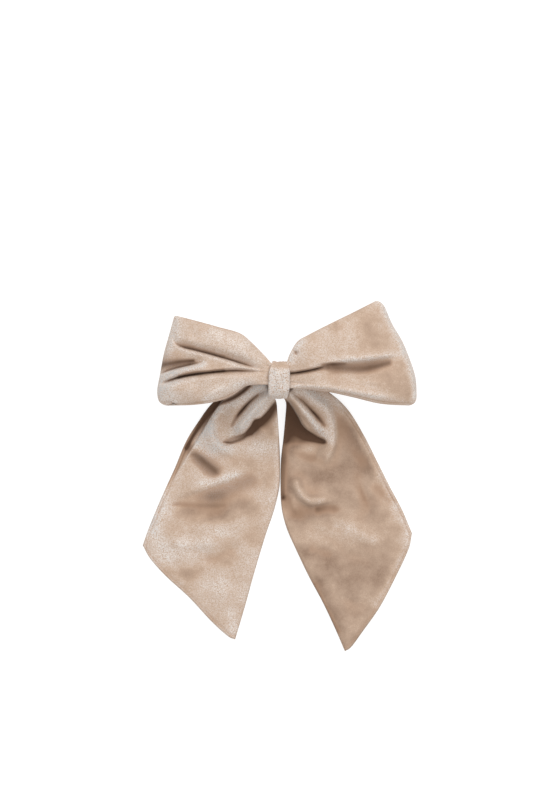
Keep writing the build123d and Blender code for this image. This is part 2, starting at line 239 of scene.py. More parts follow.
def tube_mesh(name, face, back, extra=None):
    """A closed mesh from two grids of points (rows by columns by 3) that share their whole border."""
    rows, columns = face.shape[:2]
    index = np.arange(rows * columns).reshape(rows, columns)
    inner = index[1:-1, 1:-1]
    other = index.copy()
    other[1:-1, 1:-1] = rows * columns + np.arange(inner.size).reshape(inner.shape)
    points = np.vstack([face.reshape(-1, 3), back[1:-1, 1:-1].reshape(-1, 3)]) * MM

    def quads(grid):
        return np.stack([grid[:-1, :-1], grid[1:, :-1], grid[1:, 1:], grid[:-1, 1:]], -1).reshape(-1, 4)

    faces = np.vstack([quads(index), quads(other)[:, ::-1]])
    mesh = bpy.data.meshes.new(name)
    mesh.from_pydata(points.tolist(), [], faces.tolist())
    for key, value in (extra or {}).items():
        values = np.concatenate([value.ravel(), value[1:-1, 1:-1].ravel()]).astype(np.float32)
        mesh.attributes.new(key, "FLOAT", "POINT").data.foreach_set("value", values)
    mesh.shade_smooth()
    mesh.validate()
    piece = bpy.data.objects.new(name, mesh)
    bpy.context.scene.collection.objects.link(piece)
    return piece


# ---------------------------------------------------------------- loops
LOOP_WIDTH = 50.0  # of the band, across its mouth
LOOP_MIDDLE = 11.0  # height at which a loop's two panels meet
FRONT_AT_KNOT = 20.6  # height of the front panel where it leaves the knot
FRONT_CREST = 24.6
FRONT_LOWEST = 9.0  # no fold goes deeper
END_DROP = 5.0  # of the front panel, towards the loop's end
EDGE_DROP = 4.5  # of the front panel, towards its open edges
BACK_AT_KNOT = 14.0
BACK_LOWEST = 5.2
BACK_HIGHEST = 14.5  # where the back panel lies on a tail
BACK_EDGE_RISE = 5.0
TURN = 13.0  # length over which a panel turns over at the loop's end
LOOP_SEAM_DEPTH = 0.45
GAPE = (-59.0, -11.0)  # X and Y of the left loop's open corner
LIE_GAP = 0.3  # back panel to the plate
TAIL_GAP = 0.5  # tail to what lies over or under it


def plate_top(x):
    """Height of the arched base plate under the loops."""
    arch = PLATE_RISE * np.clip(1 - (x / ARCH_HALF) ** 2, 0, 1)
    return PLATE_TOP - PLATE_RISE + arch


LEFT_LOOP = dict(
    top=[(-3.5, 8.0), (-7.3, 12.3), (-14.3, 19.3), (-20, 23.6), (-30.7, 26.7), (-42, 29.9), (-52.9, 32.8)],
    bottom=[(-3.5, -2.4), (-11.2, -2.4), (-17, -3.2), (-23, -7.4), (-30, -10.4), (-42.4, -12.4),
            (-57.6, -12.9)],
    end=[(-52.9, 32.8), (-55.6, 23), (-58.2, 13.5), (-60.2, 3), (-61.6, -5), (-60.8, -10.5), (-57.6, -12.9)],
)
RIGHT_LOOP = dict(
    top=[(3.5, 8.0), (5.3, 13), (9, 19.2), (14.5, 22.6), (25.2, 28.1), (37.1, 34), (49.5, 40.4)],
    bottom=[(3.5, -4), (10.3, -4.4), (18, -5), (26.1, -6.2), (37.1, -8.6), (51.3, -11.9), (66.5, -12.9)],
    end=[(49.5, 40.4), (53, 37.5), (57, 28.5), (62, 20), (65.6, 11.5), (68.7, 2), (69.4, -6), (69, -10.6),
         (66.5, -12.9)],
)


def left_loop_folds(xy):
    """Folds of the left loop's front panel: a hooked one above, two deep ones to its end, soft gathers."""
    hooked = [(-3, 4.6), (-9, 5.6), (-16, 7.4), (-25, 10.2), (-34, 12.8), (-43, 15.2), (-50, 17.2),
              (-53.4, 20.5), (-51.5, 24)]
    z = fold(xy, hooked, 5.0, 2.4, 5.2, (0.35, 0.25))
    z += swell(xy, [(-57, 15), (-56.6, 22), (-53.5, 26)], 1.2, 2.0, 2.0)
    z += fold(xy, [(-35, 9.6), (-42, 8.2), (-49, 6.6), (-55, 5.0), (-62, 2.4)], 4.6, 2.0, 6.5, (0.4, 0.02))
    lower = [(-3, 3.6), (-12, 4.4), (-22, 4.9), (-32, 4.2), (-42, 3.0), (-50, 1.6), (-57, -0.6),
             (-62, -3.0)]
    z += crease(xy, lower, 7.0, 4.0, 1.5, (0.35, 0.14))
    z += swell(xy, [(-36, 4.0), (-46, 2.8), (-56, 0.2)], -1.4, 1.4, 1.6, (0.3, 0.3))
    z += crease(xy, [(-4, 1.2), (-11, 1.2), (-18, 0.4)], 0.6, 2.8, 2.8, (0.02, 0.8))
    z += crease(xy, [(-4, -0.8), (-9, -1.0), (-14, -1.8)], 0.5, 1.6, 2.0, (0.02, 0.7))
    z += crease(xy, [(-3, 6.0), (-8, 8.2), (-13, 11.6)], 0.6, 2.0, 2.0, (0.02, 0.8))
    z += swell(xy, [(-46, 28), (-30, 21.5), (-20, 17), (-12, 12)], 1.2, 5, 5)
    z += swell(xy, [(-52, 31), (-53.5, 25), (-54, 19)], -1.2, 2.2, 2.2)
    z += swell(xy, [(-34, 25), (-40, 23), (-46, 22)], -0.7, 2.5, 2.5)
    z += swell(xy, [(-40, -5), (-50, -5), (-58, -6)], 0.9, 4, 4)
    z += swell(xy, [(-24, -3), (-32, -6), (-38, -9)], 0.7, 2.5, 2.5)
    return z


def right_loop_folds(xy):
    """Folds of the right loop's front panel: one deep overhanging fold, soft gathers at the knot."""
    z = fold(xy, [(3, 3.4), (9, 3.9), (15, 5.0), (21, 6.4), (25, 7.6)], 4.0, 1.6, 3.6, (0.02, 0.35))
    z += cliff(xy, [(62, 12.4), (52, 10.6), (44, 9.5), (36, 8.8), (29, 8.5), (22, 8.0), (15, 6.8)],
               4.8, 1.3, 3.4, 12.0, (0.4, 0.3))
    z += swell(xy, [(26, 10.2), (36, 10.8), (48, 12.0), (62, 13.6)], 1.0, 3, 1.4)
    z += swell(xy, [(7.6, 12.6), (9.0, 14.6)], -1.5, 1.5, 1.5, (0.3, 0.3))
    z += swell(xy, [(5.2, 9.5), (6.6, 15.0), (10.5, 19.0)], 0.8, 1.3, 1.3)
    z += swell(xy, [(5, -2.6), (20, -3.4), (34, -5.4), (50, -8.0), (62, -9.5)], 1.4, 2.0, 2.0)
    z += swell(xy, [(22, -0.6), (36, -1.6), (52, -3.6)], -0.8, 2.5, 2.0)
    z += crease(xy, [(3, 1.0), (8, 1.0), (13, 1.5)], 0.8, 1.8, 1.8, (0.02, 0.8))
    z += crease(xy, [(3, -1.2), (9, -1.4), (18, -2.4), (26, -3.6)], 0.9, 1.6, 1.8, (0.02, 0.8))
    z += swell(xy, [(50, 30), (54, 22), (60, 12)], -0.7, 3, 3)
    return z


def above_tail(xy, outline, height):
    """Lowest height that the back panel may have, to lie on the tail under it."""
    inside, _ = to_line(xy, curve(outline["top"]))
    inside = inside if outline is LEFT_TAIL else -inside
    return height(xy) + CLOTH + TAIL_GAP - 2.5 * np.maximum(0, -inside - 1.0)


def loop_surface(outline, folds, side, p, v, lift, front):
    """Points of one loop's panel. lift is how far inside the panel's outer face the point lies."""
    top, bottom, end = curve(outline["top"]), curve(outline["bottom"]), curve(outline["end"])
    start = curve([outline["top"][0], outline["bottom"][0]])
    reach = np.linalg.norm(end.mean(0))
    share = p * (1 - lift / reach)
    xy = patch(top, bottom, start, end, share, v)
    fold_start = 1 - TURN / reach
    closing = np.sqrt(1 - np.clip((p - fold_start) / (1 - fold_start), 0, 1) ** 2)
    across = np.abs(2 * v - 1)
    if front:
        rise = mix(FRONT_AT_KNOT, FRONT_CREST, ease(p / 0.3)) - END_DROP * ease((p - 0.5) / 0.5)
        z = rise - EDGE_DROP * across**4 * ease(p / 0.25)
        z = z + folds(xy) * ease(p / 0.04)
        z = z + 0.25 * waves(xy, 3 + side, 14) * ease(p / 0.2)
        z = np.maximum(z, FRONT_LOWEST)
        z = z - LOOP_SEAM_DEPTH * seam((1 - v) * LOOP_WIDTH) * ease((p - 0.15) / 0.2) - lift
        if side < 0:  # the open corner at the left loop's end
            gape = np.exp(-(((p - 0.935) / 0.035) ** 2)) * ease((v - 0.9) / 0.1)
            xy = xy + gape[..., None] * np.array([0.9, 2.3])
    else:
        rest = np.maximum(plate_top(xy[..., 0]) + LIE_GAP, BACK_LOWEST)
        z = mix(BACK_AT_KNOT, rest, ease(p / 0.33))
        z = z + BACK_EDGE_RISE * across**3 * ease(p / 0.2)
        z = z + 0.25 * waves(xy, 8 + side, 12) * ease(p / 0.4)
        tail, height = (LEFT_TAIL, left_tail_height) if side < 0 else (RIGHT_TAIL, right_tail_height)
        z = np.maximum(z, np.minimum(above_tail(xy, tail, height), BACK_HIGHEST))
        z = z + lift
    z = LOOP_MIDDLE + (z - LOOP_MIDDLE) * closing
    return np.concatenate([xy, z[..., None]], -1)


def loop_rows(count):
    """Shares p from the knot to the fold, closer together where the panel turns over."""
    t = np.linspace(0, 1, count)
    return 1 - (1 - t) ** 1.6


def make_loops():
    """Both loops as one band: back and front of the left one, then front and back of the right one."""
    columns = 170
    v = np.linspace(0, 1, columns)
    open_v = rim(np.minimum(v, 1 - v) * LOOP_WIDTH, EDGE_RADIUS)
    parts_face, parts_back, painted_shades_and_seams = [], [], []
    sides = ((LEFT_LOOP, left_loop_folds, -1), (RIGHT_LOOP, right_loop_folds, 1))
    p = loop_rows(150)
    strip_share = np.concatenate([p, p[::-1][1:]])
    fold_share = np.concatenate([strip_share, strip_share[::-1]])[:, None]
    for outline, folds, side in sides:
        strip = []
        for front, shares in ((False, p), (True, p[::-1][1:])):
            grid_p, grid_v = np.meshgrid(shares, v, indexing="ij")
            face = loop_surface(outline, folds, side, grid_p, grid_v, CLOTH / 2 * (1 - open_v), front)
            back = loop_surface(outline, folds, side, grid_p, grid_v, CLOTH / 2 * (1 + open_v), front)
            if front:
                outer = face[..., 2]
                evened = np.minimum(blur(lowered(outer, 6), 14), outer) - outer
                back[..., 2] += evened * open_v * ease((1 - grid_p) / 0.12)
            strip.append((face, back))
        face = np.vstack([s[0] for s in strip])
        back = np.vstack([s[1] for s in strip])
        # painted shade: the front panel darkens where it lies below its surroundings, in its folds
        front_painted_shade = hollows(strip[1][0], 90)
        painted_shade_and_seam = np.vstack([np.zeros_like(strip[0][0][..., 0]), front_painted_shade])
        if side > 0:
            face, back, painted_shade_and_seam = face[::-1], back[::-1], painted_shade_and_seam[::-1]
        painted_shades_and_seams.append(painted_shade_and_seam)
        parts_face.append(face)
        parts_back.append(back)
    face, back = np.vstack(parts_face), np.vstack(parts_back)
    painted_shade_and_seam = np.vstack(painted_shades_and_seams)
    # the band's two ends meet inside the knot
    for row in (0, -1):
        middle = (face[row] + back[row]) / 2
        face[row] = back[row] = middle
    # painted shade strokes of loop_shade on the front, with the seam's own dark line
    painted_shade_and_seam = painted_shade_and_seam + np.where(painted_shade_and_seam == 0, 0, loop_shade(face) + 0.8 * seam((1 - v) * LOOP_WIDTH))
    # the back panel has no folds to darken; painted shade only at the corner that shows through the open end
    inner_corner = np.hypot(face[..., 0] - GAPE[0], face[..., 1] - GAPE[1])
    painted_shade_and_seam = np.where(painted_shade_and_seam == 0, 3.0 * np.exp(-((inner_corner / 2.4) ** 4)), painted_shade_and_seam)
    # painted sheen where the panels turn over at the loops' ends
    nap_and_painted_light = loop_nap_and_painted_light(face) + 0.3 * ease((fold_share - 0.93) / 0.07)
    return tube_mesh("velvet_loops", face, back, {"painted_shade_and_light": painted_shade_and_seam, "nap_and_painted_light": nap_and_painted_light})


# ---------------------------------------------------------------- where the pile is brushed, and painted shade and sheen
def brushed(xy, places):
    """Sums soft patches (path, width, strength), with a share that the width narrows to at the path's end."""
    total = np.zeros(xy.shape[:-1])
    for path, width, strength, *narrowing in places:
        d, t = to_line(xy, curve(path, 24))
        ending = narrowing[0] if narrowing else 1.0
        total += strength * np.exp(-((d / (width * mix(1.0, ending, t))) ** 2))
    return total


def loop_nap_and_painted_light(face):
    """How silver the brushed pile of the loops is, browner where it is low. It carries painted sheen too:
    painted highlights along the loops' outer edges, and darker patches that are partly painted shade.
    """
    xy = face[..., :2]
    return 0.25 + brushed(xy, [
        ([(-14, -1.5), (-22, -2.5), (-30, -6), (-36, -9)], 3.0, 0.45),
        ([(-52, 30), (-54, 20), (-57, 10)], 3.0, 0.5),
        ([(-10, 5), (-30, 11.5), (-50, 16)], 1.5, 0.2),
        ([(-38, 7.8), (-46, 6.0), (-54, 4.4), (-61, 2.2)], 1.8, 0.75),
        ([(-44, 0.5), (-52, -1), (-59, -4)], 2.0, 0.35),
        ([(6, -3), (25, -4.5), (45, -8), (62, -10)], 2.0, 0.35),
        ([(6, 10), (7, 14), (11, 19)], 2.0, 0.7),
        ([(27, 9.6), (44, 10.8), (62, 13.4)], 2.0, 0.35),
        ([(-54, 1), (-58, -5), (-54, -10)], 4.5, 0.7),
        ([(-48, 24), (-30, 20), (-16, 12)], 6, 0.18),
        ([(12, 12), (22, 18), (34, 24)], 5, 0.2),
        ([(42, 34), (46, 26), (50, 20)], 6, -0.25),
        ([(30, 25), (39, 23)], 6, -0.2),
        # painted highlight along the left loop's outer edge
        ([(-59, 26), (-60, 14), (-62, 4), (-63, -2), (-63, -8)], 2.4, 0.55),
        ([(50, 2), (60, 2), (63, -6)], 6, -0.35),
        ([(-30, 22), (-20, 17), (-12, 10)], 4, 0.2),
        # painted highlight along the right loop's outer edge
        ([(69, -8), (68.5, -2), (64, 14), (54, 35)], 2.4, 0.7),
    ])


def loop_shade(face):
    """Painted shade that darkens the bottom of the loops' folds; negative strengths lighten."""
    return brushed(face[..., :2], [
        ([(-60, 7.4), (-54, 8.4), (-48, 9.4), (-43, 9.8)], 2.2, 3.0, 0.4),
        ([(-59, 11.4), (-51, 12)], 3.0, 0.9),
        ([(-54, 24), (-51, 21.5)], 3.0, -0.8),
        ([(-51, 19.0), (-45, 17.6), (-38, 15.3), (-28, 12.2)], 1.5, 0.7),
        ([(-50, 1.9), (-45, 3.2), (-39, 4.0), (-28, 5.0)], 1.2, 2.2),
        ([(27, 6.9), (33, 5.9), (41, 5.4), (48, 6.6), (55, 8.6)], 2.7, 2.1, 0.6),
        ([(10, 4.3), (17, 4.9), (24, 6.3)], 1.5, 1.9),
        ([(21.5, 7.7), (28, 8.0), (33, 8.2)], 0.7, 1.2),
        ([(46, 8.0), (60, 5.0)], 6.0, 0.25),
    ])


def left_tail_nap_and_painted_light(face):
    """How silver the left tail's pile is: painted light lifts the ridges by the knot that the loops shade,
    and strokes that are negative darken it, partly pile and partly painted shade.
    """
    xy = face[..., :2]
    return 0.34 + brushed(xy, [
        ([(-6, -7), (-12, -15), (-18, -22), (-23, -27)], 3.2, 0.65),
        ([(-9, -3.5), (-20, -8), (-29, -14)], 2.8, 0.6),
        ([(-40, -52.5), (-31, -50.5), (-22, -47.5)], 1.6, 0.5),
        ([(-8, -26), (-7, -34)], 4, 0.1),
        ([(-31, -15), (-34.4, -21), (-34.6, -27), (-30, -33)], 1.5, 0.5),
        ([(-36, -24), (-40, -31), (-35, -36)], 4.0, 0.8),
        ([(-30, -21), (-28, -26)], 3.4, -0.5),
        ([(-46, -66), (-34, -66.5), (-20, -63)], 5.0, -0.5),
        ([(-66, -72), (-62, -82), (-56, -90)], 5, 0.4),
        ([(-46, -84), (-38, -90)], 5, 0.25),
        ([(-56, -97), (-46, -99)], 4, -0.25),
        ([(-40, -72), (-30, -76), (-20, -74)], 5, 0.25),
        ([(-24, -42), (-10, -44), (-4, -50)], 6, -0.3),
        ([(-14, -66), (-13, -80)], 6, -0.3),
        ([(-36, -103), (-27, -105)], 4, 0.25),
        ([(-25, -119), (-23, -128)], 3, 0.4),
        ([(-24, -52), (-12, -44)], 6, 0.1),
        ([(-60, -62), (-64, -76)], 4, 0.4),
        ([(-50, -69), (-38, -71.5), (-24, -70)], 5, -0.38),
        ([(-34, -92), (-26, -90)], 5, -0.3),
        ([(-12, -22), (-6, -24), (-4, -28)], 4, -0.4),
        ([(-26, -35), (-16, -35), (-6, -33)], 4, 0.25),
        ([(-48, -100), (-40, -98)], 4, -0.2),
        ([(-30, -14), (-36, -22), (-44, -34), (-60, -60)], 1.2, 0.2),
        ([(-38, -16), (-45, -28), (-52, -40), (-58, -52)], 3.0, -0.7),
        ([(-2, -12), (-0.5, -30), (-1, -56)], 1.5, 0.25),
    ])


def left_tail_shade(face):
    """Painted shade that darkens the left tail's folds, and painted shadows where its ridges and the loop
    shade it; negative strengths lighten.
    """
    return brushed(face[..., :2], [
        ([(-2.0, -13), (-5.2, -18), (-9.5, -22), (-14.5, -26.4)], 3.0, 3.0, 0.5),
        ([(-2.5, -14), (-6, -20.5), (-12, -25)], 6.0, 0.7),
        ([(-11, -8), (-17, -13), (-21.5, -18.5), (-24, -23)], 1.0, 1.6),
        ([(-30.5, -20), (-29, -27)], 3.4, -1.8),
        ([(-40, -60.5), (-30, -60)], 3.5, 0.9),
        ([(-14.5, -26.6), (-19, -30), (-24, -31.7), (-28.5, -31.6)], 1.1, 1.8, 0.4),
        ([(-46, -35.0), (-39, -40), (-32, -45.5)], 3.0, 1.7),
        ([(-40, -43), (-34, -48)], 4.6, 0.9),
        ([(-54, -63.2), (-40, -64.0), (-28, -64)], 1.4, 0.9),
        ([(-34, -59), (-25, -56), (-15, -51)], 4.6, 1.4),
        ([(-40, -66), (-32, -66)], 2.5, 0.5),
        ([(-32.5, -11), (-38.5, -19.5), (-43.5, -27.5), (-47.5, -34.5)], 2.7, 3.6, 0.3),
        ([(-15, -2.9), (-18, -5.6), (-23, -8.8), (-30.4, -11.7)], 1.3, 4.2),
        ([(-46, -33), (-52.6, -44), (-57.5, -54)], 1.3, 0.5),
        ([(0, -30), (0.3, -44), (-0.4, -58)], 0.9, 0.8),
    ])


def right_tail_nap_and_painted_light(face):
    """How silver the right tail's pile is: painted light lifts the ridges by the knot and the right edge,
    which the loop shades, and strokes that are negative darken it, partly pile and partly painted shade.
    """
    xy = face[..., :2]
    return -0.14 + brushed(xy, [
        ([(7, -8), (14, -16.5), (20, -24), (24, -29)], 2.2, 0.75),
        ([(9, -5), (16, -7), (22, -11)], 3.0, 0.55),
        ([(12, -35), (16, -34.5)], 2.5, 0.4),
        ([(16, -7), (23, -13), (27, -22), (27, -30)], 4.0, 0.4),
        ([(25.0, -12), (26.4, -24), (24.4, -36)], 3.0, 0.1),
        ([(58, -66), (62, -76), (59, -86)], 5, 0.25),
        ([(49, -54), (54, -62)], 4, 0.15),
        ([(30, -70), (34, -74)], 5, 0.25),
        ([(18, -80), (32, -78), (46, -80)], 6, 0.35),
        ([(35, -20), (38, -30), (43, -42)], 5, -0.55),
        ([(24, -6), (31, -13), (36, -21)], 3.5, 0.35),
        ([(6, -13), (8, -22), (10, -30)], 5, -0.5),
        ([(2.5, -34), (3, -45), (3, -60)], 3.5, -0.4),
        ([(12, -48), (24, -48), (32, -44)], 5, -0.2),
        ([(10, -68), (22, -67), (32, -69)], 3.5, -0.3),
        ([(20, -104), (26, -116), (30, -126)], 3.5, -0.4),
        ([(24, -93), (36, -95)], 7, -0.2),
        ([(15, -88), (24, -89)], 4, -0.3),
        ([(44, -88), (56, -94), (50, -106)], 7, -0.15),
        ([(60, -66), (66, -78), (62, -92), (50, -114)], 2.5, 0.45),
        # painted light along the right edge, which the loop shades
        ([(30, -11), (37.5, -21), (46, -37), (60, -64)], 2.4, 0.5),
    ])


def right_tail_shade(face):
    """Painted shade that darkens the right tail's folds, and painted shadow in the dip under its ridge by the
    knot.
    """
    painted_shadow_under_ridge = brushed(face[..., :2], [
        ([(4.2, -13), (7.4, -20.5), (11.0, -26.4), (16.4, -29.8), (22.6, -31.4)], 3.3, 3.6, 0.4),
        ([(3.4, -15), (3.8, -23), (5.0, -30)], 4.0, 2.0),
        ([(6, -18), (8.5, -25), (12, -30)], 4.0, 2.2),
    ])
    return painted_shadow_under_ridge * ease((face[..., 1] + 34.4) / 3.4) + brushed(face[..., :2], [
        ([(6, -6), (12, -11), (18, -17), (23, -23)], 0.9, 1.4),
        ([(2.6, -22), (2.4, -34), (1.8, -46), (2, -60)], 3.2, 2.7, 0.4),
        ([(4, -59), (6, -64), (10, -69)], 2.6, 0.7),
        ([(12, -38), (17, -40), (22, -41)], 2.6, 0.8),
        ([(40, -50), (41.5, -58), (44, -65)], 3.2, 0.8),
        ([(31.5, -20), (33, -28), (36, -35), (42, -41)], 2.6, 0.6),
        ([(12, -67.5), (24, -65.5), (30, -66)], 3.2, 0.6),
        ([(1.5, -58), (3, -70)], 1.5, 0.4),
        ([(18, -104), (24, -116), (30, -128)], 1.4, 1.3),
        ([(49, -55), (56, -61)], 2.6, 1.0),
    ])


# ---------------------------------------------------------------- tails
KNOT_EXIT = 11.0  # height at which a tail leaves the knot
TAIL_LIFT = 0.8  # lowest that a tail's face lies above its own thickness on the table
TAIL_LENGTH = 120.0
TAIL_WIDTH = 52.0
TAIL_SEAM_DEPTH = 0.4
GATHER_FROM = 8.0  # painted light keeps the gathers light this far out from the knot's middle
GATHER_FADE = 18.0  # and that painted light fades over this length

LEFT_TAIL = dict(
    top=[(-4, 0), (-14, -1.0), (-24, -4.0), (-34.1, -11.4), (-41.6, -21.4), (-47.8, -31.5), (-53.6, -45.3),
         (-60.3, -60.2), (-66.4, -75), (-69.7, -84.2)],
    bottom=[(-2.5, -8.5), (-1.3, -11.5), (-0.8, -18), (0.1, -31.7), (0.5, -43.5), (0.1, -54.4), (-2.6, -66.3),
            (-7.2, -79.9), (-12.7, -98.2), (-17.2, -114.5), (-22.5, -132.4)],
    end=[(-69.7, -84.2), (-65.8, -91.2), (-57.6, -100.3), (-45.7, -111.2), (-34.8, -123), (-26.2, -130.7),
         (-22.5, -132.4)],
)
RIGHT_TAIL = dict(
    top=[(4, 0), (14, -1.5), (22, -4), (28, -8), (32.5, -12), (37.4, -18), (43.8, -28.9), (50.2, -41.7),
         (56.6, -54.4), (62.9, -66.3), (67.9, -78.2)],
    bottom=[(2.0, -8.5), (3.5, -11.6), (3.2, -18), (2.1, -29.9), (0.9, -40.8), (0.7, -54.4), (1.3, -65.4),
            (3.8, -75.4), (8.2, -85.5), (15.2, -100.2), (22.5, -113.8), (28.9, -127.5), (33.6, -138.4)],
    end=[(67.9, -78.2), (66, -86.5), (59.7, -100.2), (51.1, -116.4), (42.4, -128.7), (36.9, -136.2),
         (33.6, -138.4)],
)


def tail_slope(xy):
    """Height of a tail without folds, coming down from the knot to the table."""
    low = TABLE + CLOTH
    out = np.hypot(xy[..., 0], xy[..., 1])
    return mix(KNOT_EXIT, low + TAIL_LIFT, ease((out - 6) / 38))


def left_tail_height(xy):
    """The left tail's ridges from the knot, the overhang under them, and the folds that cross its width."""
    z = tail_slope(xy)
    rim_line = [(-25, -8), (-30.5, -14), (-33.8, -20), (-34.6, -26), (-32, -31.6), (-27, -34.6), (-19, -35)]
    z += swell(xy, rim_line, 3.4, 3.0, 4.6, (0.5, 0.25))
    z += swell(xy, [(-7, -1), (-16, -6), (-23, -12.5), (-27, -19)], 2.4, 4.6, 6.0, (0.01, 0.4))
    inner_ridge = [(-3.5, -6.5), (-10, -12.5), (-16, -19), (-20.5, -24.5), (-24.5, -28)]
    z += swell(xy, inner_ridge, 3.6, 3.6, 3.4, (0.01, 0.25))
    z += crease(xy, [(-6.4, -4), (-14, -10.0), (-20.0, -16.6), (-24.0, -21.6)], 6.0, 2.6, 2.8, (0.25, 0.4))
    z += crease(xy, [(-16, -26.0), (-20, -28.8), (-25, -31.2), (-30, -31.4)], 5.0, 2.8, 3.6, (0.35, 0.35))
    overhang = [(-1.2, -9.0), (-5.6, -14.8), (-9.4, -18.8), (-12.8, -20.0), (-15.2, -23.8), (-18.8, -27.4),
                (-24.5, -30.2)]
    z += cliff(xy, overhang, 5.6, 1.2, 0.6, 13, (0.03, 0.4))
    outer_edge = [(-24, -5), (-31.5, -14.5), (-38.5, -25.5), (-44.5, -35), (-51.5, -46.5), (-59.5, -61)]
    z += step(xy, outer_edge, 5.0, 9.0, (0.05, 0.6))
    z += fold(xy, [(-46.5, -37.0), (-41, -40.5), (-35.5, -45.5), (-29, -49)], 3.4, 5.0, 6.5, (0.2, 0.45))
    cross_fold = [(-10, -43), (-21, -49.4), (-31, -53.4), (-42, -57.5), (-55, -61.5)]
    z += cliff(xy, cross_fold, 3.4, 3.5, 7, 17, (0.3, 0.35))
    z += crease(xy, [(-57, -63.2), (-46, -63.4), (-35, -62.2), (-22, -62.5)], 1.5, 6, 4, (0.2, 0.6))
    z += swell(xy, [(-46, -68), (-34, -68.5), (-24, -66)], -1.0, 4.0, 4.0)
    z += swell(xy, [(-58, -80), (-46, -84), (-30, -82)], 0.9, 5.0, 4.0)
    z += swell(xy, [(-40, -93), (-30, -90), (-18, -84)], -0.9, 4.0, 4.0)
    return over_plate(z, xy)


def right_tail_height(xy):
    """The right tail's ridges from the knot, the overhang under them, and the soft folds further down."""
    z = tail_slope(xy)
    rim_line = [(19, -8), (24, -14), (26.8, -21), (27.6, -28), (26.8, -34.4), (24.2, -40), (19.4, -44.6)]
    z += swell(xy, rim_line, 3.2, 2.6, 5.4, (0.3, 0.3))
    z += swell(xy, [(8, -1), (14, -6), (20, -12), (24, -19)], 2.4, 5.0, 4.6, (0.01, 0.4))
    z += swell(xy, [(4.4, -6), (9, -11.6), (14.5, -18), (19.4, -24), (24, -29)], 3.4, 3.0, 2.6, (0.01, 0.2))
    z += crease(xy, [(6, -6), (11.4, -10), (17, -16), (21.6, -21), (25, -25.4)], 4.5, 3.2, 2.4, (0.25, 0.45))
    z += crease(xy, [(14.0, -25.4), (18.2, -28.4), (23.2, -31.6), (26, -32.2)], 4.5, 3.0, 3.2, (0.35, 0.35))
    z += cliff(xy, [(24.5, -31.8), (18, -28.0), (12.6, -23.4), (9.6, -18.0), (5.6, -11.6), (2.6, -8.0)],
               7.5, 1.5, 0.6, 17, (0.35, 0.03))
    z += swell(xy, [(36, -18), (39, -28), (42.5, -40), (44, -48)], -2.2, 4.5, 4.5)
    z += swell(xy, [(7, -34.5), (13, -38), (20, -39.5)], -1.8, 3.2, 3.0)
    z += swell(xy, [(8.6, -48), (9.6, -55), (15.5, -61.3), (26.5, -60.6)], 3.0, 3.0, 3.2)
    z += swell(xy, [(17, -66.5), (24, -65.5), (32, -66.5)], -1.7, 3.2, 3.2)
    z += swell(xy, [(2.4, -58), (4.6, -66), (8.5, -72)], -1.6, 3, 3)
    z += crease(xy, [(40.6, -50), (42, -57), (44.6, -63), (46, -69)], 1.5, 4.0, 4.8, (0.4, 0.5))
    z += swell(xy, [(14, -84), (22, -88), (30, -90)], -1.0, 4, 4)
    z += swell(xy, [(30, -74), (44, -80), (58, -84)], 0.8, 5, 5)
    return over_plate(z, xy)


def over_plate(z, xy):
    """Keeps a tail on top of the base plate where it crosses it."""
    guard = plate_top(xy[..., 0]) + CLOTH + TAIL_GAP - 3 * np.maximum(0, plate_low[1] - 0.3 - xy[..., 1])
    return np.maximum(z, guard)


def tail_height(xy, folds, seed):
    """A tail's folds and unevenness, kept above the table by a soft floor."""
    soft = ease((np.hypot(xy[..., 0], xy[..., 1]) - 30) / 40)
    z = folds(xy) + soft * (0.9 + 0.5 * waves(xy, seed, 24) + 0.12 * waves(xy, seed + 50, 8))
    low = TABLE + CLOTH
    floor_soft = low + TAIL_LIFT * np.exp(np.minimum(z - low - TAIL_LIFT, 0) / TAIL_LIFT)
    return np.where(z > low + TAIL_LIFT, z, floor_soft)


def tail_grids(outline, folds, seed, rows=230, columns=150):
    """A tail's upper and lower points, and how deep its seam's groove is at each."""
    top, bottom, end = (curve(outline[k], 90) for k in ("top", "bottom", "end"))
    start = curve([outline["top"][0], outline["bottom"][0]])
    p, v = np.meshgrid(np.linspace(0, 1, rows), np.linspace(0, 1, columns), indexing="ij")
    xy = patch(top, bottom, start, end, p, v)
    width = TAIL_WIDTH * mix(0.2, 1, ease(p / 0.5))
    groove = seam(np.minimum(v * width, (1 - p) * TAIL_LENGTH)) * ease((p - 0.2) / 0.2)
    height = tail_height(xy, folds, seed) - TAIL_SEAM_DEPTH * groove
    edge = np.minimum(np.minimum(v, 1 - v) * width, np.minimum(p, 1 - p) * TAIL_LENGTH)
    opening = rim(edge, EDGE_RADIUS)
    under = np.minimum(blur(height, 14), height) - CLOTH
    under = np.maximum(under, TABLE)
    middle = (height + under) / 2
    face = np.concatenate([xy, mix(middle, height, opening)[..., None]], -1)
    back = np.concatenate([xy, mix(middle, under, opening)[..., None]], -1)
    return face, back, groove


def make_tail(name, outline, folds, nap_and_painted_light, shade, seed):
    """One tail; its painted shade of low places counts for less by the knot, where painted light keeps the
    gathers light.
    """
    face, back, groove = tail_grids(outline, folds, seed)
    # painted shade where the tail lies below its surroundings
    painted_fold_shade = hollows(face, 150)
    near_knot = 1 - ease((np.hypot(face[..., 0], face[..., 1]) - GATHER_FROM) / GATHER_FADE)
    painted_fold_shade = np.where(painted_fold_shade > 0, painted_fold_shade * (1 - 0.85 * near_knot), painted_fold_shade) - 0.8 * near_knot
    # painted shade and light, with the shade strokes and the seam's own dark line
    return tube_mesh(name, face, back, {"painted_shade_and_light": painted_fold_shade + shade(face) + 0.7 * groove, "nap_and_painted_light": nap_and_painted_light(face)})


# ---------------------------------------------------------------- knot
WRAP_THICK = 1.2
WRAP_HALF = 5.6  # half its width
WRAP_LIFT = 1.2  # its underside above the lowest point of the CAD knot
SQUARENESS = 0.7  # of its section: 1 is an ellipse, less is squarer


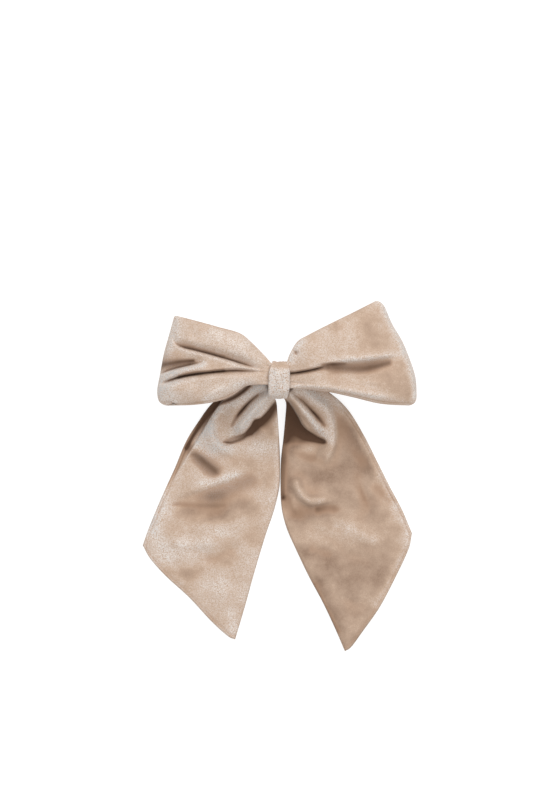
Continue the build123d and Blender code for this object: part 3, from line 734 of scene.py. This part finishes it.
def make_knot():
    """The wrap: one turn round the gathered bands, pinched above and below, with soft gathers."""
    rows, columns = 240, 90
    centre_z = (knot_high[2] + knot_low[2] + WRAP_LIFT) / 2
    half_y, half_z = (knot_high[1] - knot_low[1]) / 2, knot_high[2] - centre_z
    turn = np.linspace(0, math.tau, rows)
    v = np.linspace(-1, 1, columns)
    angle, across = np.meshgrid(turn + math.pi, v, indexing="ij")
    c, s = np.cos(angle), np.sin(angle)
    ring_z = np.sign(c) * np.abs(c) ** SQUARENESS
    ring_y = np.sign(s) * np.abs(s) ** SQUARENESS
    upper = np.clip(ring_y, 0, 1) ** 2
    lower = np.clip(-ring_y, 0, 1) ** 2
    half_x = WRAP_HALF - 1.3 * upper - 0.9 * lower - 0.25 * np.exp(-((ring_y * 2.5) ** 2))
    middle_x = 0.7 * upper - 0.6 * lower
    opening = rim((1 - np.abs(across)) * WRAP_HALF, WRAP_THICK)
    xy = np.stack([across * WRAP_HALF, turn[:, None] * 9 + 0 * across], -1)
    wander = 0.5 * np.sin(angle * 2 + 0.6) + 0.35 * np.sin(angle * 5 + across * 2)
    gathers = 0.20 * np.cos(across * 7.0 + wander * 3.2) + 0.10 * np.cos(across * 13 - wander * 5 + 1)
    bump = 0.22 * waves(xy, 21, 5) + gathers * (0.6 + 0.4 * np.cos(angle * 3 + 1))
    crown = 0.9 * across**2
    grids = []
    for depth in (-WRAP_THICK / 2, WRAP_THICK / 2):
        shrink = WRAP_THICK / 2 - bump * 0.6 + depth * opening
        y = ring_y * (half_y - shrink)
        z = centre_z + ring_z * (half_z - shrink - crown)
        grids.append(np.stack([middle_x + across * half_x, y, z], -1))
    face, back = grids
    for row in (0, -1):
        middle = (face[row] + back[row]) / 2
        face[row] = back[row] = middle
    # pile value with painted sheen: silver over the knot's front, tan where it turns over at the top
    nap_and_painted_light = 0.9 - 0.77 * ease((face[..., 1] - 4.6) / 2.5)
    # painted shade in the valleys between the gathers, painted light on their tops
    valley = blur(bump, 6) - bump
    return tube_mesh("velvet_knot", face, back, {"painted_shade_and_light": valley * 4, "nap_and_painted_light": nap_and_painted_light})


# ---------------------------------------------------------------- spring bar under the plate
spring_low, spring_high = node_box("tension_bar")
SPRING_THICK = 0.35
SPRING_END = 2.5  # height of its upper face at the ends
SPRING_EDGE = 0.14  # rounding of its edges
TONGUE_HALF = 1.5


def make_spring():
    """A bowed strip of spring steel with a narrower tongue turned up at each end, its edges rounded."""
    reach = spring_high[0] - SPRING_THICK / 2
    half_width = (spring_high[1] - spring_low[1]) / 2
    sag = SPRING_END - SPRING_THICK - spring_low[2]
    x = np.linspace(-reach, reach, 121)
    middle = SPRING_END - SPRING_THICK / 2 - sag * (1 - (x / reach) ** 2) ** 1.5
    width = np.full_like(x, half_width)
    up = np.linspace(middle[-1], spring_high[2], 9)[1:]
    x = np.concatenate([np.full_like(up, -reach), x, np.full_like(up, reach)])
    z = np.concatenate([up[::-1], middle, up])
    width = np.concatenate([np.full_like(up, TONGUE_HALF), width, np.full_like(up, TONGUE_HALF)])
    v = np.linspace(-1, 1, 13)
    v = np.sign(v) * np.abs(v) ** 0.6
    grid_y = width[:, None] * v
    path = np.stack([x, z], 1)
    tangent = np.gradient(path, axis=0)
    normal = np.stack([-tangent[:, 1], tangent[:, 0]], 1) / np.linalg.norm(tangent, axis=1)[:, None]
    opening = rim((1 - np.abs(v))[None, :] * width[:, None], SPRING_EDGE)
    opening[0] = opening[-1] = 0
    grids = []
    for side in (1, -1):
        off = side * SPRING_THICK / 2 * opening[..., None] * normal[:, None, :]
        grids.append(np.stack([x[:, None] + off[..., 0], grid_y, z[:, None] + off[..., 1]], -1))
    return tube_mesh("spring_bar", *grids)


# ---------------------------------------------------------------- materials
def new_material(name):
    """A new material, its nodes and links, and its shader."""
    material = bpy.data.materials.new(name)
    material.use_nodes = True
    nodes, links = material.node_tree.nodes, material.node_tree.links
    return material, nodes, links, nodes["Principled BSDF"]


def velvet(name, grain=0.7):
    """Velvet whose colour follows the brushed pile with its painted sheen, the painted shade and bounce light
    of the folds, and the grain of the pile.
    """
    material, nodes, links, shader = new_material(name)
    place = nodes.new("ShaderNodeTexCoord")

    def noise(scale, detail, rough):
        n = nodes.new("ShaderNodeTexNoise")
        n.inputs["Scale"].default_value = scale
        n.inputs["Detail"].default_value = detail
        n.inputs["Roughness"].default_value = rough
        links.new(place.outputs["Object"], n.inputs["Vector"])
        return n.outputs["Fac"]

    def attribute(key):
        n = nodes.new("ShaderNodeAttribute")
        n.attribute_name = key
        return n.outputs["Fac"]

    def math_node(operation, *values):
        n = nodes.new("ShaderNodeMath")
        n.operation = operation
        for socket, value in zip(n.inputs, values):
            if isinstance(value, (int, float)):
                socket.default_value = value
            else:
                links.new(value, socket)
        return n.outputs[0]

    def spread(value, low, high, to_low=0.0, to_high=1.0):
        n = nodes.new("ShaderNodeMapRange")
        n.inputs["From Min"].default_value = low
        n.inputs["From Max"].default_value = high
        n.inputs["To Min"].default_value = to_low
        n.inputs["To Max"].default_value = to_high
        links.new(value, n.inputs["Value"])
        return n.outputs["Result"]

    def blend(share, first, second, mode="MIX"):
        n = nodes.new("ShaderNodeMix")
        n.data_type = "RGBA"
        n.blend_type = mode
        n.clamp_factor = True
        links.new(share, n.inputs["Factor"])
        for socket, value in ((n.inputs[6], first), (n.inputs[7], second)):
            if isinstance(value, tuple):
                socket.default_value = (*value, 1)
            else:
                links.new(value, socket)
        return n.outputs[2]

    clouds = noise(95, 4, 0.65)
    crush = noise(1600, 2, 0.8)
    pile = noise(2600, 1, 0.7)
    # painted highlight: ridge tops, where the shade value is negative, are made more silver
    painted_crest_light = spread(attribute("painted_shade_and_light"), -0.15, -1.6, 0.0, 0.4)
    clouded_nap_and_painted_light = math_node("ADD", attribute("nap_and_painted_light"), spread(clouds, 0.3, 0.7, -0.25, 0.25))
    nap_and_painted_light = math_node("ADD", clouded_nap_and_painted_light, painted_crest_light)
    speckle = spread(math_node("ADD", crush, pile), 0.86, 1.14, -grain, grain)
    length = spread(nap_and_painted_light, -0.1, 1.1, 0.3, 1.32)
    silver = math_node("ADD", nap_and_painted_light, math_node("MULTIPLY", speckle, math_node("MULTIPLY", length, length)))
    tan = blend(spread(silver, -0.55, 0.15), VELVET_DARK, VELVET_LIGHT)
    color = blend(spread(silver, 0.1, 1.5, 0.0, 1.0), tan, VELVET_SILVER)
    color = blend(spread(silver, 1.3, 2.5, 0.0, 1.0), color, VELVET_FROST)
    # painted bounce light in shallow dips, then painted shade deepest at the bottom of folds
    color = blend(spread(attribute("painted_shade_and_light"), 0.1, 1.2, 0.0, 0.55), color, VELVET_WARM)
    color = blend(spread(attribute("painted_shade_and_light"), 0.5, 3.5, 0.0, 0.96), color, VELVET_SHADE)
    links.new(color, shader.inputs["Base Color"])
    bump = nodes.new("ShaderNodeBump")
    bump.inputs["Strength"].default_value = 0.55
    bump.inputs["Distance"].default_value = 0.0002
    links.new(math_node("ADD", crush, pile), bump.inputs["Height"])
    links.new(bump.outputs[0], shader.inputs["Normal"])
    shader.inputs["Roughness"].default_value = 0.8
    shader.inputs["Specular IOR Level"].default_value = 0.2
    shader.inputs["Sheen Weight"].default_value = 0.3
    shader.inputs["Sheen Roughness"].default_value = 0.4
    shader.inputs["Sheen Tint"].default_value = (1.0, 0.86, 0.74, 1)
    return material


def steel(name, color, roughness):
    """Plated steel, brushed along X by fine streaks in its gloss."""
    material, nodes, links, shader = new_material(name)
    place = nodes.new("ShaderNodeTexCoord")
    stretch = nodes.new("ShaderNodeMapping")
    stretch.inputs["Scale"].default_value = (40, 900, 900)
    grain = nodes.new("ShaderNodeTexNoise")
    grain.inputs["Scale"].default_value = 6
    links.new(place.outputs["Object"], stretch.inputs[0])
    links.new(stretch.outputs[0], grain.inputs["Vector"])
    spread = nodes.new("ShaderNodeMapRange")
    spread.inputs["To Min"].default_value = roughness - 0.08
    spread.inputs["To Max"].default_value = roughness + 0.1
    links.new(grain.outputs["Fac"], spread.inputs[0])
    links.new(spread.outputs[0], shader.inputs["Roughness"])
    shader.inputs["Base Color"].default_value = (*color, 1)
    shader.inputs["Metallic"].default_value = 1.0
    return material


def thread(name, color):
    """Sewing thread: fine slanted lines of its twist."""
    material, nodes, links, shader = new_material(name)
    place = nodes.new("ShaderNodeTexCoord")
    twist = nodes.new("ShaderNodeTexWave")
    twist.bands_direction = "DIAGONAL"
    twist.inputs["Scale"].default_value = 1500
    twist.inputs["Distortion"].default_value = 1.0
    links.new(place.outputs["Object"], twist.inputs["Vector"])
    shade = nodes.new("ShaderNodeMix")
    shade.data_type = "RGBA"
    shade.inputs[6].default_value = (*[0.6 * c for c in color], 1)
    shade.inputs[7].default_value = (*color, 1)
    links.new(twist.outputs["Fac"], shade.inputs["Factor"])
    links.new(shade.outputs[2], shader.inputs["Base Color"])
    bump = nodes.new("ShaderNodeBump")
    bump.inputs["Distance"].default_value = 0.0001
    links.new(twist.outputs["Fac"], bump.inputs["Height"])
    links.new(bump.outputs[0], shader.inputs["Normal"])
    shader.inputs["Roughness"].default_value = 0.6
    return material


VELVET_DARK = (0.25, 0.165, 0.115)  # pile seen end on
VELVET_LIGHT = (0.46, 0.335, 0.25)  # pile lying over
VELVET_SILVER = (0.67, 0.63, 0.60)  # pile brushed towards the light, a painted sheen
VELVET_FROST = (0.40, 0.39, 0.38)  # grain in the most silver places
VELVET_WARM = (0.43, 0.27, 0.175)  # painted bounce light deep in folds, where cloth lights cloth
VELVET_SHADE = (0.075, 0.036, 0.019)  # at the bottom of folds
KNOT_GRAIN = 0.88
velvet_bow = velvet("taupe_velvet")
velvet_wrap = velvet("taupe_velvet_wrap", KNOT_GRAIN)
sewing_thread = thread("taupe_thread", (0.42, 0.33, 0.27))
clip_steel = steel("nickel_steel", (0.62, 0.60, 0.57), 0.3)
pin_steel = steel("bright_nickel", (0.72, 0.70, 0.66), 0.2)


def dress(piece, material, body):
    """Gives a piece its material and the body it rides on."""
    piece.data.materials.clear()
    piece.data.materials.append(material)
    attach(piece, body)


BODY = "bow_and_plate"
loops = make_loops()
left_tail = make_tail(
    "velvet_tail_left", LEFT_TAIL, left_tail_height, left_tail_nap_and_painted_light, left_tail_shade, seed=31
)
right_tail = make_tail(
    "velvet_tail_right", RIGHT_TAIL, right_tail_height, right_tail_nap_and_painted_light, right_tail_shade, seed=57
)
knot = make_knot()
spring = make_spring()
for piece in (loops, left_tail, right_tail):
    dress(piece, velvet_bow, BODY)
dress(knot, velvet_wrap, BODY)
dress(spring, clip_steel, BODY)
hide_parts("bow_loops")
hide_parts("bow_tails")
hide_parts("bow_tails")
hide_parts("knot_wrap")
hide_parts("tension_bar")
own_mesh(spring)

for name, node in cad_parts.items():
    if name in ("bow_loops", "bow_tails", "knot_wrap", "tension_bar"):
        continue
    material = clip_steel
    if name in ("hinge_pin", "catch_rivet"):
        material = pin_steel
    elif name in ("wrap_stitches", "tack_threads"):
        material = sewing_thread
    node.data.materials.clear()
    node.data.materials.append(material)

# ---------------------------------------------------------------- floor, lights and camera
FLOOR_GAP = 0.0002  # metres under the barrette, so that the faces don't coincide
AIM = (0, -0.03, 0)  # middle of the barrette, which both lights face
bpy.ops.mesh.primitive_plane_add(size=4, location=(0, 0, TABLE * MM - FLOOR_GAP))
floor = bpy.context.object
floor.name = "floor"
floor_material, _, _, floor_shader = new_material("pale_floor")
floor_shader.inputs["Base Color"].default_value = (0.24, 0.24, 0.24, 1)
floor_shader.inputs["Roughness"].default_value = 0.9
floor_shader.inputs["Emission Color"].default_value = (1, 1, 1, 1)
floor_shader.inputs["Emission Strength"].default_value = 0.84
floor.data.materials.append(floor_material)


def area_light(name, place, size, power):
    """A rectangular lamp that faces the barrette. Places and sizes are in metres."""
    light = bpy.data.lights.new(name, "AREA")
    light.shape = "RECTANGLE"
    light.size, light.size_y = size
    light.energy = power
    lamp = bpy.data.objects.new(name, light)
    bpy.context.scene.collection.objects.link(lamp)
    lamp.location = place
    lamp.rotation_euler = (Vector(AIM) - Vector(place)).to_track_quat("-Z", "Y").to_euler()


area_light("key", place=(0.08, 0.55, 0.65), size=(1.1, 0.65), power=6.65)
area_light("fill", place=(0.08, -0.34, 0.66), size=(0.6, 0.6), power=2.35)

world = bpy.data.worlds.new("studio")
bpy.context.scene.world = world
world.use_nodes = True
sky = world.node_tree.nodes["Background"]
sky.inputs["Color"].default_value = (1, 1, 1, 1)
ray = world.node_tree.nodes.new("ShaderNodeLightPath")
level = world.node_tree.nodes.new("ShaderNodeMapRange")
level.inputs["To Min"].default_value = 0.52  # what lights the object
level.inputs["To Max"].default_value = 1.0  # what is seen behind it
world.node_tree.links.new(ray.outputs["Is Camera Ray"], level.inputs["Value"])
world.node_tree.links.new(level.outputs["Result"], sky.inputs["Strength"])

bpy.context.scene.view_settings.view_transform = "Standard"

SHEET_MM_TALL = 408.0  # what the camera's frame covers from top to bottom
camera_data = bpy.data.cameras.new("camera")
camera_data.lens = 100
camera = bpy.data.objects.new("camera", camera_data)
bpy.context.scene.collection.objects.link(camera)
camera.location = (-0.0011, -0.010, SHEET_MM_TALL * MM * camera_data.lens / camera_data.sensor_width)
bpy.context.scene.camera = camera
